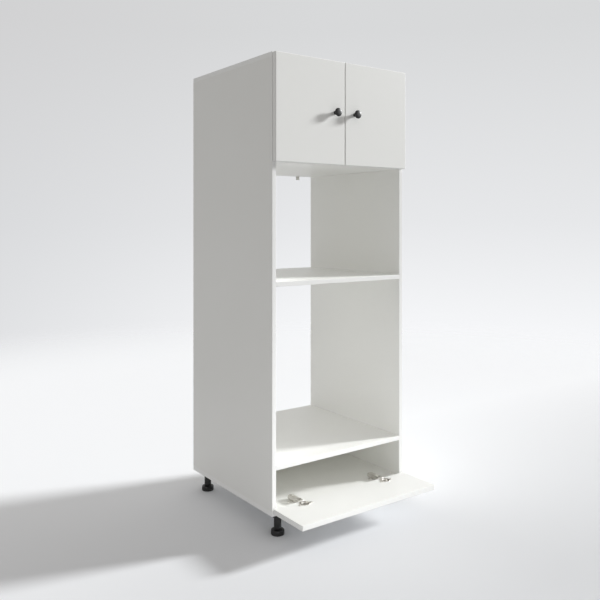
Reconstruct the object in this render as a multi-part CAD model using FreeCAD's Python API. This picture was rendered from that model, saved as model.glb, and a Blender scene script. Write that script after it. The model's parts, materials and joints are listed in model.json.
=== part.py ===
import FreeCAD, Part
import math
import os

# A tall kitchen housing for a built-in microwave above a built-in oven: a two-door cupboard on
# top, two niches that are open front and back, and a low compartment with a drop-down flap.
# Millimetres. X runs across the front, Y from the front to the back, Z up from the floor.
# Pieces are drawn with the front edges of the boards at Y = 0 and moved at the end, so that
# the origin lies on the floor in the middle of the footprint with the flap open.

V = FreeCAD.Vector

# ---- carcass
carcass_width = 600.0
carcass_depth = 564.0
board = 16.0                  # melamine-faced particle board
leg_height = 80.0
lower_clear = 136.0           # height inside the compartment behind the flap
oven_niche = 600.0
microwave_niche = 402.0
cupboard_clear = 338.0
edge_chamfer = 0.8            # softened front edges of the boards
back_thickness = 3.0          # hardboard back panels
back_inset = 2.0              # back panels stop short of the outside by this much

# ---- fronts
front_board = 18.0
front_gap = 1.2               # closed front to the edges of the carcass
front_reveal = 1.5            # front to the outside of the carcass
door_split = 3.0              # gap between the two doors
flap_height = 165.0
front_chamfer = 1.6

# ---- knobs
knob_from_centre = 45.0
knob_radius = 16.0
knob_length = 26.0
knob_neck_radius = 6.2
knob_screw_radius = 2.0
knob_screw_grip = 11.0        # screw length inside the knob

# ---- concealed cup hinges, drawn in their own frame: X along the hinge axis, Y as the cabinet
# and Z counted from the outer face of the panel that carries the hinge
cup_radius = 17.5
cup_depth = 11.5
cup_wall = 1.0
cup_from_edge = 22.5          # centre of the cup to the edge of the front
flange_thickness = 0.8
flange_radius = 19.5
cup_screw_half_span = 24.0
cup_screw_offset = 6.0
flange_end_radius = 6.5
arm_pin_y = 4.0
arm_pin_z = 29.0
cup_pin_depth = 3.5           # cup pin below the inner face of the front
cup_pin_from_edge = 10.5
pin_radius = 1.5
cheek_inner = 6.0             # bearing cheeks inside the cup, from its middle
cheek_outer = 7.6
cheek_behind_pin = 2.6
cheek_ahead_of_pin = 4.0
pin_clearance = 0.05
link_thickness = 2.4
link_width = 11.0
link_eye_radius = 2.7
link_rise = 3.9               # crest of the cranked link above its arm pin, with the front open
link_shoulder = 1.5           # start of the crest ahead of the cup pin
link_swing = -50.0            # turn of the link while the front opens by quarter_turn
quarter_turn = 90.0
sheet = 1.2                   # pressed steel of the arm
arm_width = 17.0
arm_nose_radius = 4.5
arm_top = 33.0
arm_length = 62.0
arm_foot = 3.0                # air under the sides of the arm
plate_line = 37.0             # row of mounting screws behind the front edge
plate_screw_half_span = 16.0
plate_wing_length = 52.0
plate_wing_width = 13.0
plate_wing_thickness = 2.5
plate_body_width = 13.2
plate_body_front = 14.0
plate_body_rear = 58.0
plate_wall = 1.5
adjuster_radius = 3.0
side_adjuster_y = 24.0
depth_adjuster_y = 49.0
door_hinge_margin = 80.0      # hinge centre to the end of the door
flap_hinge_x = 185.0

# ---- screws and joinery
wood_screw_radius = 1.75
wood_screw_depth = 12.0
wood_screw_head_radius = 3.4
wood_screw_head_height = 1.5
hole_clearance = 0.05
shank_flats = 4               # shanks in their holes, and dowels
head_flats = 6                # screw heads, adjusting screws and cams
pin_flats = 8                 # hinge pins and their eyes
leg_flats = 12
round_flats = 16              # hinge cups and knobs
shelf_fixing_inset = 50.0     # cam fittings from the front and back edges
dowel_radius = 4.0
dowel_half_length = 20.0
dowel_inset = 120.0           # dowels in the seam of the sides, from the front and back edges
cam_radius = 7.5
cam_thickness = 12.0
cam_distance = 34.0           # cam centre to the end of the shelf
bolt_radius = 2.5
bolt_in_side = 11.0
bolt_head_radius = 3.2
bolt_head_length = 3.4
joining_length = 50.0
joining_radius = 3.5
joining_head_radius = 5.0
joining_head_height = 4.0
joining_inset = 60.0
clip_width = 17.0
clip_drop = 15.0              # clip below the floor of the cupboard
clip_from_side = 69.0         # middle of the clip to the inner face of the side
clip_thickness = 2.0
clip_foot = 18.0

# ---- levelling legs
leg_side_inset = 46.0
leg_end_inset = 35.0
flange_plate = 60.0
flange_plate_thickness = 3.0
flange_corner = 8.0
leg_screw_offset = 23.0
socket_radius = 20.0
socket_height = 20.0
stem_radius = 13.0
foot_radius = 23.0
foot_height = 18.0
foot_chamfer = 3.5
spindle_radius = 9.0
spindle_length = 40.0
spindle_clearance = 0.3       # it slides in the stem as the leg is adjusted

# ---- levels and places that follow
half_width = carcass_width / 2
side_inner = half_width - board
side_middle = half_width - board / 2
bottom_z = leg_height
lower_floor_z = bottom_z + board
oven_shelf_z = lower_floor_z + lower_clear
oven_floor_z = oven_shelf_z + board
microwave_shelf_z = oven_floor_z + oven_niche
seam_z = microwave_shelf_z + board
cupboard_floor_z = seam_z + microwave_niche
cupboard_inner_z = cupboard_floor_z + board
top_z = cupboard_inner_z + cupboard_clear
total_height = top_z + board
front_back_y = -front_gap
front_face_y = -front_gap - front_board
door_bottom_z = cupboard_floor_z + front_reveal
door_top_z = total_height - front_reveal
door_middle_z = (door_bottom_z + door_top_z) / 2
door_outer_x = half_width - front_reveal
door_inner_x = door_split / 2
cup_centre_z = front_reveal + cup_from_edge
cup_screw_z = cup_centre_z + cup_screw_offset
cup_pin_y = front_back_y - cup_pin_depth
cup_pin_z = front_reveal + cup_pin_from_edge
fixing_rows = [shelf_fixing_inset, carcass_depth - shelf_fixing_inset]
dowel_rows = [dowel_inset, carcass_depth - dowel_inset]
joining_rows = [joining_inset, carcass_depth - joining_inset]
door_hinge_rows = [door_bottom_z + door_hinge_margin, door_top_z - door_hinge_margin]
leg_rows = {"front": leg_end_inset, "rear": carcass_depth - leg_end_inset}
sides = {"left": -1, "right": 1}


# ---- drawing helpers
def block(x0, x1, y0, y1, z0, z1):
    return Part.makeBox(x1 - x0, y1 - y0, z1 - z0, V(x0, y0, z0))


def fused(shapes):
    return shapes[0].multiFuse(shapes[1:]).removeSplitter()


def prism(points, axis_vector):
    """Solid from a closed outline of straight edges."""
    wire = Part.makePolygon(points + [points[0]])
    return Part.Face(wire).extrude(axis_vector)


def flatted(profile, centre, direction, flats):
    """Solid of flat faces: profile is a list of (radius to the corners, distance along the direction)."""
    turns = [2 * math.pi * i / flats for i in range(flats)]
    rings = [[V(r * math.cos(turn), r * math.sin(turn), d) for turn in turns] for r, d in profile]
    outlines = [rings[0], rings[-1]]
    for low, high in zip(rings[:-1], rings[1:]):
        outlines += [[low[i - 1], low[i], high[i], high[i - 1]] for i in range(flats)]
    faces = [Part.Face(Part.makePolygon(outline + [outline[0]])) for outline in outlines]
    solid = Part.Solid(Part.Shell(faces)).removeSplitter()
    solid.Placement = FreeCAD.Placement(centre, FreeCAD.Rotation(V(0, 0, 1), direction))
    return solid


def flat_bar(radius, start, direction, length, flats, clearance=0.0):
    """Straight bar with flats; its hole is the same bar with the flats moved out by the clearance."""
    corner = radius + clearance / math.cos(math.pi / flats)
    return flatted([(corner, 0), (corner, length)], start, direction, flats)


def edges_on_plane(shape, axis, value):
    """Edges of a shape that lie wholly on the plane axis = value (axis 0, 1, 2 for X, Y, Z)."""
    found = []
    for edge in shape.Edges:
        low = (edge.BoundBox.XMin, edge.BoundBox.YMin, edge.BoundBox.ZMin)[axis]
        high = (edge.BoundBox.XMax, edge.BoundBox.YMax, edge.BoundBox.ZMax)[axis]
        if abs(low - value) < 0.01 and abs(high - value) < 0.01:
            found.append(edge)
    return found


def panel(x0, x1, z0, z1):
    """A board of the carcass with softened front edges."""
    plain = block(x0, x1, 0, carcass_depth, z0, z1)
    return plain.makeChamfer(edge_chamfer, edges_on_plane(plain, 1, 0))


def drilled(shape, holes):
    """Holes are (radius of the piece that goes in, start, direction, length)."""
    return shape.cut([flat_bar(*hole, shank_flats, hole_clearance) for hole in holes])


def headed(shank_radius, shank_from, shank_to, head_radius, head_from, head_to, place, direction):
    """Fastener with a square shank and a six-sided head, both as distances along the direction."""
    shank = flatted([(shank_radius, shank_from), (shank_radius, shank_to)], place, direction, shank_flats)
    head = flatted([(head_radius, head_from), (head_radius, head_to)], place, direction, head_flats)
    return fused([shank, head])


# ---- places of the joinery
def bolt_holes_in_side(side, shelf_z):
    level = shelf_z + board / 2
    return [(bolt_radius, V(side * side_inner, y, level), V(side, 0, 0), bolt_in_side) for y in fixing_rows]


def joining_holes_in_side(side, end_z, up):
    inside = joining_length - board
    return [(joining_radius, V(side * side_middle, y, end_z), V(0, 0, up), inside) for y in joining_rows]


def dowel_holes(side, up):
    return [(dowel_radius, V(side * side_middle, y, seam_z), V(0, 0, up), dowel_half_length)
            for y in dowel_rows]


def door_plate_screw_holes(side):
    holes = []
    for level in door_hinge_rows:
        for way in (-1, 1):
            start = V(side * side_inner, plate_line, level + way * plate_screw_half_span)
            holes.append((wood_screw_radius, start, V(side, 0, 0), wood_screw_depth))
    return holes


def lower_side(side):
    x0, x1 = sorted((side * side_inner, side * half_width))
    holes = bolt_holes_in_side(side, oven_shelf_z) + bolt_holes_in_side(side, microwave_shelf_z)
    holes += joining_holes_in_side(side, lower_floor_z, 1) + dowel_holes(side, -1)
    return drilled(panel(x0, x1, lower_floor_z, seam_z), holes)


def upper_side(side):
    x0, x1 = sorted((side * side_inner, side * half_width))
    holes = bolt_holes_in_side(side, cupboard_floor_z) + joining_holes_in_side(side, top_z, -1)
    holes += dowel_holes(side, 1) + door_plate_screw_holes(side)
    return drilled(panel(x0, x1, seam_z, top_z), holes)


def end_panel(z0, outer_z, up):
    """Top or bottom board, which caps the ends of the sides and takes the joining screws."""
    holes = []
    seats = []
    for side in sides.values():
        for y in joining_rows:
            start = V(side * side_middle, y, outer_z)
            holes.append((joining_radius, start, V(0, 0, -up), board))
            seats.append(flat_bar(joining_head_radius, start, V(0, 0, -up), joining_head_height,
                                  head_flats, hole_clearance))
    return drilled(panel(-half_width, half_width, z0, z0 + board).cut(seats), holes)


def bottom_panel():
    base = end_panel(bottom_z, bottom_z, -1)
    holes = []
    for side in sides.values():
        for way in (-1, 1):
            start = V(side * flap_hinge_x + way * plate_screw_half_span, plate_line, lower_floor_z)
            holes.append((wood_screw_radius, start, V(0, 0, -1), wood_screw_depth))
    for x, y in leg_screw_places():
        holes.append((wood_screw_radius, V(x, y, bottom_z), V(0, 0, 1), wood_screw_depth))
    return drilled(base, holes)


def shelf(shelf_z, cams_up):
    """A fixed board between the sides with cam pockets on one face and bores in both ends."""
    up = 1 if cams_up else -1
    pocket_z = shelf_z + board if cams_up else shelf_z
    cuts = []
    for side in sides.values():
        end_x = side * side_inner
        for y in fixing_rows:
            centre = V(end_x - side * cam_distance, y, pocket_z)
            end = V(end_x, y, shelf_z + board / 2)
            pocket = (cam_radius, centre, V(0, 0, -up), cam_thickness)
            bore = (bolt_head_radius, end, V(-side, 0, 0), cam_distance)
            cuts += [flat_bar(*cut, head_flats, hole_clearance) for cut in (pocket, bore)]
    return panel(-side_inner, side_inner, shelf_z, shelf_z + board).cut(cuts)


def back_panel(z0, z1):
    reach = half_width - back_inset
    return block(-reach, reach, carcass_depth, carcass_depth + back_thickness, z0, z1)


# ---- joinery pieces
shelves = [(oven_shelf_z, False), (microwave_shelf_z, False), (cupboard_floor_z, True)]


def cam(centre, up, side):
    """Eccentric disc with a slot that catches the head of the bolt."""
    body = flat_bar(cam_radius, centre, V(0, 0, -up), cam_thickness, head_flats)
    level = centre.z - up * board / 2
    half = bolt_head_radius + 0.3
    x0, x1 = sorted((centre.x - side * half, centre.x + side * (cam_radius + 1)))
    return body.cut(block(x0, x1, centre.y - half, centre.y + half, level - half, level + half))


def cam_bolt(y, level, side):
    """Steel bolt screwed into the side, with a head that the cam pulls on."""
    reach = cam_distance - 1.0
    neck = reach - bolt_head_length
    return headed(bolt_radius, -bolt_in_side, neck, bolt_head_radius, neck, reach,
                  V(side * side_inner, y, level), V(-side, 0, 0))


def dowel(centre):
    """Upright beech dowel with chamfered ends, half in the lower and half in the upper side."""
    chamfer = 1.0
    half = dowel_half_length - 0.3
    profile = [(dowel_radius - chamfer, -half), (dowel_radius, -half + chamfer),
               (dowel_radius, half - chamfer), (dowel_radius - chamfer, half)]
    return flatted(profile, centre, V(0, 0, 1), shank_flats)


def joining_screw(x, y, outer_z, up):
    """One-piece joining screw with a flush head."""
    neck = joining_head_height - hole_clearance
    return headed(joining_radius, neck, joining_length - 0.3, joining_head_radius, 0, neck,
                  V(x, y, outer_z), V(0, 0, -up))


def wood_screw(seat, direction, grip):
    """Screw with a flat head: seat is the surface under the head, direction points out of the wood."""
    tip = -grip - wood_screw_depth + 0.5
    return headed(wood_screw_radius, tip, 0, wood_screw_head_radius, 0, wood_screw_head_height,
                  seat, direction)


def rear_clip(side):
    """White plastic clip on the back panel that hangs below the floor of the cupboard."""
    x = side * (side_inner - clip_from_side)
    y0 = carcass_depth + back_thickness
    plate = block(x - clip_width / 2, x + clip_width / 2, y0, y0 + clip_thickness,
                  cupboard_floor_z - clip_drop, cupboard_floor_z + clip_foot)
    hook = block(x - clip_width / 2, x + clip_width / 2, y0 - back_thickness, y0,
                 cupboard_floor_z - clip_drop, cupboard_floor_z - clip_drop + clip_thickness)
    both = fused([plate, hook])
    uprights = [e for e in both.Edges if abs(e.tangentAt(e.FirstParameter).y) > 0.99
                and abs(e.Length - clip_thickness) < 0.01]
    return both.makeChamfer(3.0, uprights)


# ---- levelling legs
def leg_places():
    return {end + "_" + name: (side * (half_width - leg_side_inset), y)
            for end, y in leg_rows.items() for name, side in sides.items()}


def plate_corners(x, y):
    """Where the four screws of a leg go."""
    return [(x + a * leg_screw_offset, y + b * leg_screw_offset) for a in (-1, 1) for b in (-1, 1)]


def leg_screw_places():
    return [corner for x, y in leg_places().values() for corner in plate_corners(x, y)]


def leg_body(x, y):
    """Moulding of screw plate, ribs, collar and tube; the spindle of the foot runs up inside it."""
    half = flange_plate / 2
    plate_z = bottom_z - flange_plate_thickness
    plate = block(x - half, x + half, y - half, y + half, plate_z, bottom_z)
    corners = [e for e in plate.Edges if abs(e.tangentAt(e.FirstParameter).z) > 0.99]
    plate = plate.makeChamfer(flange_corner, corners)
    drop = plate_z - foot_height
    collar = socket_height - flange_plate_thickness
    profile = [(socket_radius, 0), (socket_radius, collar), (stem_radius, collar), (stem_radius, drop)]
    tube = flatted(profile, V(x, y, plate_z), V(0, 0, -1), leg_flats)
    rib_reach = half - 3
    ribs = []
    for turn in (0, 90):
        rib = prism([V(-rib_reach, -1, 0), V(rib_reach, -1, 0), V(socket_radius, -1, -collar + 4),
                     V(-socket_radius, -1, -collar + 4)], V(0, 2, 0))
        rib.rotate(V(0, 0, 0), V(0, 0, 1), turn)
        rib.translate(V(x, y, plate_z))
        ribs.append(rib)
    bore = flat_bar(spindle_radius, V(x, y, foot_height - 1), V(0, 0, 1), drop - 3, leg_flats,
                    spindle_clearance)
    holes = [(wood_screw_radius, V(hole_x, hole_y, plate_z - 1), V(0, 0, 1), flange_plate_thickness + 2)
             for hole_x, hole_y in plate_corners(x, y)]
    return drilled(fused([plate, tube] + ribs).cut(bore), holes)


def leg_foot(x, y):
    """Round foot with a threaded spindle that screws up into the leg."""
    profile = [(foot_radius, 0), (foot_radius, foot_height - foot_chamfer),
               (foot_radius - foot_chamfer, foot_height), (spindle_radius, foot_height),
               (spindle_radius, foot_height + spindle_length)]
    return flatted(profile, V(x, y, 0), V(0, 0, 1), leg_flats)


# ---- concealed hinge, in the hinge frame with the front closed
def turn_about_x(shape, y, z, degrees):
    copy = shape.copy()
    copy.rotate(V(0, y, z), V(1, 0, 0), degrees)
    return copy


def cup_pin_place(share):
    """Where the cup pin is after the link has made this share of its swing."""
    angle = math.radians(link_swing * share)
    dy = cup_pin_y - arm_pin_y
    dz = cup_pin_z - arm_pin_z
    return (arm_pin_y + dy * math.cos(angle) - dz * math.sin(angle),
            arm_pin_z + dy * math.sin(angle) + dz * math.cos(angle))


def front_opened(shape):
    """Carries a piece of the front from closed to a quarter turn open."""
    y, z = cup_pin_place(1.0)
    moved = turn_about_x(shape, cup_pin_y, cup_pin_z, quarter_turn)
    moved.translate(V(0, y - cup_pin_y, z - cup_pin_z))
    return moved


def hinge_cup():
    """Pressed cup with a flange, two screw wings and holes for its pin."""
    centre = V(0, front_back_y, cup_centre_z)
    into = V(0, -1, 0)
    out = V(0, 1, 0)
    body = flat_bar(cup_radius, centre, into, cup_depth, round_flats)
    flange = flat_bar(flange_radius, centre, out, flange_thickness, round_flats)
    wings = [flat_bar(flange_end_radius, V(way * cup_screw_half_span, front_back_y, cup_screw_z), out,
                      flange_thickness, pin_flats) for way in (-1, 1)]
    bar = block(-cup_screw_half_span, cup_screw_half_span, front_back_y, front_back_y + flange_thickness,
                cup_screw_z - flange_end_radius, cup_screw_z + flange_end_radius)
    hollow = flat_bar(cup_radius - cup_wall, centre + out, into, cup_depth - cup_wall + 1, round_flats)
    shell = fused([body, flange, bar] + wings).cut(hollow)
    cheeks = []
    for x in (-cheek_outer, cheek_inner):
        cheek = block(x, x + cheek_outer - cheek_inner, front_back_y - cup_depth, front_back_y - 0.5,
                      cup_pin_z - cheek_behind_pin, cup_pin_z + cheek_ahead_of_pin)
        cheeks.append(cheek.common(body))
    pin_hole = flat_bar(pin_radius, V(-cheek_outer - 1, cup_pin_y, cup_pin_z), V(1, 0, 0),
                        2 * cheek_outer + 2, pin_flats, hole_clearance)
    screws = [(wood_screw_radius, V(way * cup_screw_half_span, 1, cup_screw_z), into, 4) for way in (-1, 1)]
    return drilled(fused([shell] + cheeks).cut(pin_hole), screws)


def cup_pin():
    start = V(-cheek_outer, cup_pin_y, cup_pin_z)
    return flat_bar(pin_radius, start, V(1, 0, 0), 2 * cheek_outer, pin_flats)


def link_eye(centre, free_end, across):
    """Rolled eye around a pin: round over the quarter that starts at the angle free_end, flats elsewhere."""
    corners = []
    for i in range(pin_flats + 1):
        angle = math.radians(free_end) + 2 * math.pi * i / pin_flats
        corners.append(centre + V(0, link_eye_radius * math.cos(angle), link_eye_radius * math.sin(angle)))
    round_part = Part.Arc(corners[0], corners[1], corners[2]).toShape()
    outline = Part.Wire([round_part] + Part.makePolygon(corners[2:]).Edges)
    return Part.Face(outline).extrude(across * link_width)


def hinge_link():
    """Cranked link between the arm pin and the cup pin, drawn with the front open."""
    end_y, end_z = cup_pin_place(1.0)
    crest = arm_pin_z + link_rise
    points = [V(0, arm_pin_y, arm_pin_z), V(0, arm_pin_y - 4.5, crest), V(0, end_y + link_shoulder, crest),
              V(0, end_y, end_z)]
    across = V(1, 0, 0)
    bars = []
    for start, end in zip(points[:-1], points[1:]):
        along = end - start
        half = V(0, -along.z, along.y).normalize() * (link_thickness / 2)
        bars.append(prism([start + half, end + half, end - half, start - half], across * link_width))
    knuckles = [flat_bar(link_thickness / 2, point, across, link_width, pin_flats) for point in points[1:-1]]
    eyes = [link_eye(points[0], -90, across), link_eye(points[-1], -135, across)]
    bore_radius = pin_radius / math.cos(math.pi / pin_flats)
    bores = [flat_bar(bore_radius, point - across, across, link_width + 2, pin_flats, pin_clearance)
             for point in (points[0], points[-1])]
    solid = fused(bars + knuckles + eyes).cut(bores)
    solid.translate(V(-link_width / 2, 0, 0))
    return turn_about_x(solid, arm_pin_y, arm_pin_z, -link_swing)


def hinge_arm():
    """Pressed channel with a rounded nose, two adjusting holes and its open side to the panel."""
    half = arm_width / 2
    low = board + arm_foot
    nose_low = arm_pin_z - arm_nose_radius
    straight = [V(-half, arm_length, low), V(-half, arm_length, arm_top - 3),
                V(-half, arm_length - 4, arm_top), V(-half, arm_pin_y, arm_top),
                V(-half, arm_pin_y, nose_low), V(-half, arm_pin_y + 8, nose_low),
                V(-half, arm_pin_y + 12, low)]
    nose = flat_bar(arm_nose_radius, V(-half, arm_pin_y, arm_pin_z), V(1, 0, 0), arm_width, pin_flats)
    nose = nose.cut(block(-half, half, -arm_length, arm_length, arm_top, arm_top + 5))
    solid = fused([prism(straight, V(arm_width, 0, 0)), nose])
    inner = half - sheet
    web_start = arm_pin_y + 5
    gaps = [block(-inner, inner, -10, web_start, 0, arm_top + 5),
            block(-inner, inner, web_start - 0.1, arm_length + 5, 0, arm_top - sheet)]
    pin_hole = flat_bar(pin_radius, V(-half - 1, arm_pin_y, arm_pin_z), V(1, 0, 0), arm_width + 2, pin_flats,
                        hole_clearance)
    holes = [flat_bar(adjuster_radius, V(0, y, low), V(0, 0, 1), arm_top, head_flats, hole_clearance)
             for y in (side_adjuster_y, depth_adjuster_y)]
    return solid.cut(gaps + [pin_hole] + holes)


def arm_pin():
    return flat_bar(pin_radius, V(-arm_width / 2, arm_pin_y, arm_pin_z), V(1, 0, 0), arm_width, pin_flats)


def hinge_plate():
    """Cross-shaped mounting plate: two screw wings and a hollow rail that the arm slides on."""
    half = plate_wing_length / 2
    wide = plate_wing_width / 2
    wings = block(-half, half, plate_line - wide, plate_line + wide, board, board + plate_wing_thickness)
    corners = [e for e in wings.Edges if abs(e.tangentAt(e.FirstParameter).z) > 0.99]
    wings = wings.makeChamfer(wide - 2.0, corners)
    rail_half = plate_body_width / 2
    rail_top = arm_top - sheet
    outline = [V(-rail_half, plate_body_front, board), V(-rail_half, plate_body_front, rail_top - 4),
               V(-rail_half, plate_body_front + 5, rail_top), V(-rail_half, plate_body_rear - 3, rail_top),
               V(-rail_half, plate_body_rear, rail_top - 3), V(-rail_half, plate_body_rear, board)]
    rail = prism(outline, V(plate_body_width, 0, 0))
    pocket = block(-rail_half + plate_wall, rail_half - plate_wall, plate_body_front + plate_wall,
                   plate_body_rear - plate_wall, board - 1, rail_top - 5)
    holes = [(wood_screw_radius, V(way * plate_screw_half_span, plate_line, board - 1), V(0, 0, 1), 8)
             for way in (-1, 1)]
    threads = [flat_bar(adjuster_radius, V(0, y, board + 2), V(0, 0, 1), arm_top, head_flats, hole_clearance)
               for y in (side_adjuster_y, depth_adjuster_y)]
    return drilled(fused([wings, rail]).cut([pocket] + threads), holes)


def hinge_adjusters():
    """Side adjuster, a headless screw, and the screw that clamps the arm to its plate."""
    low = arm_top - sheet - 5
    grub = [(adjuster_radius, low), (adjuster_radius, arm_top + 0.4)]
    clamp = [(adjuster_radius, low), (adjuster_radius, arm_top), (adjuster_radius + 1.4, arm_top),
             (adjuster_radius + 1.4, arm_top + 1.6)]
    return [flatted(grub, V(0, side_adjuster_y, 0), V(0, 0, 1), head_flats),
            flatted(clamp, V(0, depth_adjuster_y, 0), V(0, 0, 1), head_flats)]


def cup_screws():
    seat_y = front_back_y + flange_thickness
    return [wood_screw(V(way * cup_screw_half_span, seat_y, cup_screw_z), V(0, 1, 0), flange_thickness)
            for way in (-1, 1)]


def plate_screws():
    seat_z = board + plate_wing_thickness
    return [wood_screw(V(way * plate_screw_half_span, plate_line, seat_z), V(0, 0, 1), plate_wing_thickness)
            for way in (-1, 1)]


def front_bores():
    """What a front loses to one hinge: the cup bore and its two screw holes."""
    into = V(0, -1, 0)
    mouth = front_back_y + 1
    bores = [flat_bar(cup_radius, V(0, mouth, cup_centre_z), into, cup_depth + 1.5, round_flats,
                      hole_clearance)]
    bores += [flat_bar(wood_screw_radius, V(way * cup_screw_half_span, mouth, cup_screw_z), into,
                       wood_screw_depth + 1, shank_flats, hole_clearance) for way in (-1, 1)]
    return bores


def on_side(shape, side, level):
    """Sets a hinge piece on a side panel: its axis upright, its Z pointing into the cupboard."""
    copy = shape.copy()
    copy.rotate(V(0, 0, 0), V(0, 1, 0), -side * 90)
    copy.translate(V(side * half_width, 0, level))
    return copy


def on_bottom(shape, x):
    """Sets a hinge piece on the bottom panel."""
    copy = shape.copy()
    copy.translate(V(x, 0, bottom_z))
    return copy


# ---- fronts
def front_panel(x0, x1, z0, z1):
    plain = block(x0, x1, front_face_y, front_back_y, z0, z1)
    shaped = plain.makeChamfer(front_chamfer, edges_on_plane(plain, 1, front_face_y))
    return shaped.makeChamfer(edge_chamfer, edges_on_plane(shaped, 1, front_back_y))


def door(side):
    x0, x1 = sorted((side * door_inner_x, side * door_outer_x))
    cuts = [on_side(bore, side, level) for level in door_hinge_rows for bore in front_bores()]
    cuts.append(flat_bar(knob_screw_radius, V(side * knob_from_centre, front_face_y - 1, door_middle_z),
                         V(0, 1, 0), front_board + 2, shank_flats, hole_clearance))
    return front_panel(x0, x1, door_bottom_z, door_top_z).cut(cuts)


def flap():
    """The drop-down front, drawn closed and then swung open to the level."""
    closed = front_panel(-door_outer_x, door_outer_x, front_reveal, front_reveal + flap_height)
    cuts = []
    for side in sides.values():
        for bore in front_bores():
            moved = bore.copy()
            moved.translate(V(side * flap_hinge_x, 0, 0))
            cuts.append(moved)
    opened = front_opened(closed.cut(cuts))
    opened.translate(V(0, 0, bottom_z))
    return opened


def knob(side):
    """Mushroom knob: a short neck that flares into a head with a low crown."""
    r = knob_radius
    n = knob_neck_radius
    h = knob_length
    profile = [(n + 0.6, 0), (n, h * 0.36), (r * 0.6, h * 0.54), (r * 0.94, h * 0.66), (r, h * 0.75),
               (r * 0.9, h * 0.88), (r * 0.55, h)]
    base = V(side * knob_from_centre, front_face_y, door_middle_z)
    hole = flat_bar(knob_screw_radius, base, V(0, -1, 0), knob_screw_grip + 1, shank_flats, hole_clearance)
    return flatted(profile, base, V(0, -1, 0), round_flats).cut(hole)


def knob_screw(side):
    """Machine screw through the door into the knob, its head on the inner face."""
    return headed(knob_screw_radius, -front_board - knob_screw_grip, 0, 2 * knob_screw_radius, 0, 2.0,
                  V(side * knob_from_centre, front_back_y, door_middle_z), V(0, 1, 0))


# ---- all nodes
nodes = {
    "bottom_panel": [bottom_panel()],
    "top_panel": [end_panel(top_z, total_height, 1)],
    "oven_shelf": [shelf(oven_shelf_z, False)],
    "microwave_shelf": [shelf(microwave_shelf_z, False)],
    "cupboard_floor": [shelf(cupboard_floor_z, True)],
    "upper_back_panel": [back_panel(cupboard_floor_z, total_height - back_inset)],
    "lower_back_panel": [back_panel(bottom_z + back_inset, oven_floor_z - back_inset)],
    "flap": [flap()],
}

for name, side in sides.items():
    nodes[name + "_side_lower"] = [lower_side(side)]
    nodes[name + "_side_upper"] = [upper_side(side)]
    nodes[name + "_door"] = [door(side)]
    nodes[name + "_knob"] = [knob(side)]
    nodes[name + "_knob_screw"] = [knob_screw(side)]
    nodes[name + "_rear_clip"] = [rear_clip(side)]

for place, (leg_x, leg_y) in leg_places().items():
    nodes[place + "_leg"] = [leg_body(leg_x, leg_y)]
    nodes[place + "_leg_foot"] = [leg_foot(leg_x, leg_y)]

nodes["leg_screws"] = [wood_screw(V(x, y, bottom_z - flange_plate_thickness), V(0, 0, -1),
                                  flange_plate_thickness) for x, y in leg_screw_places()]

# hinges: each front has its own cups, pins, screws and links, and the carcass holds the rest
fixed_hinge_pieces = {"hinge_arms": [hinge_arm()], "hinge_plates": [hinge_plate()]}
moving_hinge_pieces = {"hinge_cups": [hinge_cup()], "cup_pins": [cup_pin()], "cup_screws": cup_screws()}
door_hinge_pieces = {**fixed_hinge_pieces, **moving_hinge_pieces, "hinge_links": [hinge_link()]}
shared_hinge_pieces = {"hinge_arm_pins": [arm_pin()], "hinge_adjusters": hinge_adjusters(),
                       "hinge_plate_screws": plate_screws()}
for group in shared_hinge_pieces:
    nodes[group] = []

for name, side in sides.items():
    for group, pieces in door_hinge_pieces.items():
        nodes[name + "_door_" + group] = [on_side(piece, side, level) for level in door_hinge_rows
                                          for piece in pieces]
    for group, pieces in shared_hinge_pieces.items():
        nodes[group] += [on_side(piece, side, level) for level in door_hinge_rows for piece in pieces]

opened_link = turn_about_x(hinge_link(), arm_pin_y, arm_pin_z, link_swing)
opened_pieces = {group: [front_opened(piece) for piece in pieces]
                 for group, pieces in moving_hinge_pieces.items()}
flap_pieces = {**fixed_hinge_pieces, **opened_pieces, "hinge_links": [opened_link]}
for group, pieces in flap_pieces.items():
    nodes["flap_" + group] = [on_bottom(piece, side * flap_hinge_x) for side in sides.values()
                              for piece in pieces]
for group, pieces in shared_hinge_pieces.items():
    nodes[group] += [on_bottom(piece, side * flap_hinge_x) for side in sides.values() for piece in pieces]

# joinery in groups of identical pieces
nodes["shelf_cams"] = []
nodes["shelf_cam_bolts"] = []
for shelf_z, cams_up in shelves:
    for side in sides.values():
        up = 1 if cams_up else -1
        pocket_z = shelf_z + board if cams_up else shelf_z
        for y in fixing_rows:
            cam_centre = V(side * (side_inner - cam_distance), y, pocket_z)
            nodes["shelf_cams"].append(cam(cam_centre, up, side))
            nodes["shelf_cam_bolts"].append(cam_bolt(y, shelf_z + board / 2, side))

nodes["side_joint_dowels"] = [dowel(V(side * side_middle, y, seam_z)) for side in sides.values()
                              for y in dowel_rows]
nodes["joining_screws"] = [joining_screw(side * side_middle, y, level, up)
                           for level, up in ((total_height, 1), (bottom_z, -1))
                           for side in sides.values() for y in joining_rows]

# the open flap reaches furthest forward and the back panels furthest back, less the clips
flap_edge_y = cup_pin_place(1.0)[0] + cup_pin_from_edge
front_reach = flap_edge_y - flap_height
back_reach = carcass_depth + back_thickness + clip_thickness
middle_y = (front_reach + back_reach) / 2

os.makedirs("parts", exist_ok=True)
for name, pieces in nodes.items():
    shape = pieces[0] if len(pieces) == 1 else Part.makeCompound(pieces)
    shape.translate(V(0, -middle_y, 0))
    shape.exportStep("parts/" + name + ".step")

print("nodes", len(nodes), "solids", sum(len(pieces) for pieces in nodes.values()))
print("front plane of the boards at Y", -middle_y, "flap edge", flap_edge_y - middle_y)
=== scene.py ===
import json
import math
import bpy
import numpy as np
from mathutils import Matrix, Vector
from mathutils.geometry import tessellate_polygon


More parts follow.
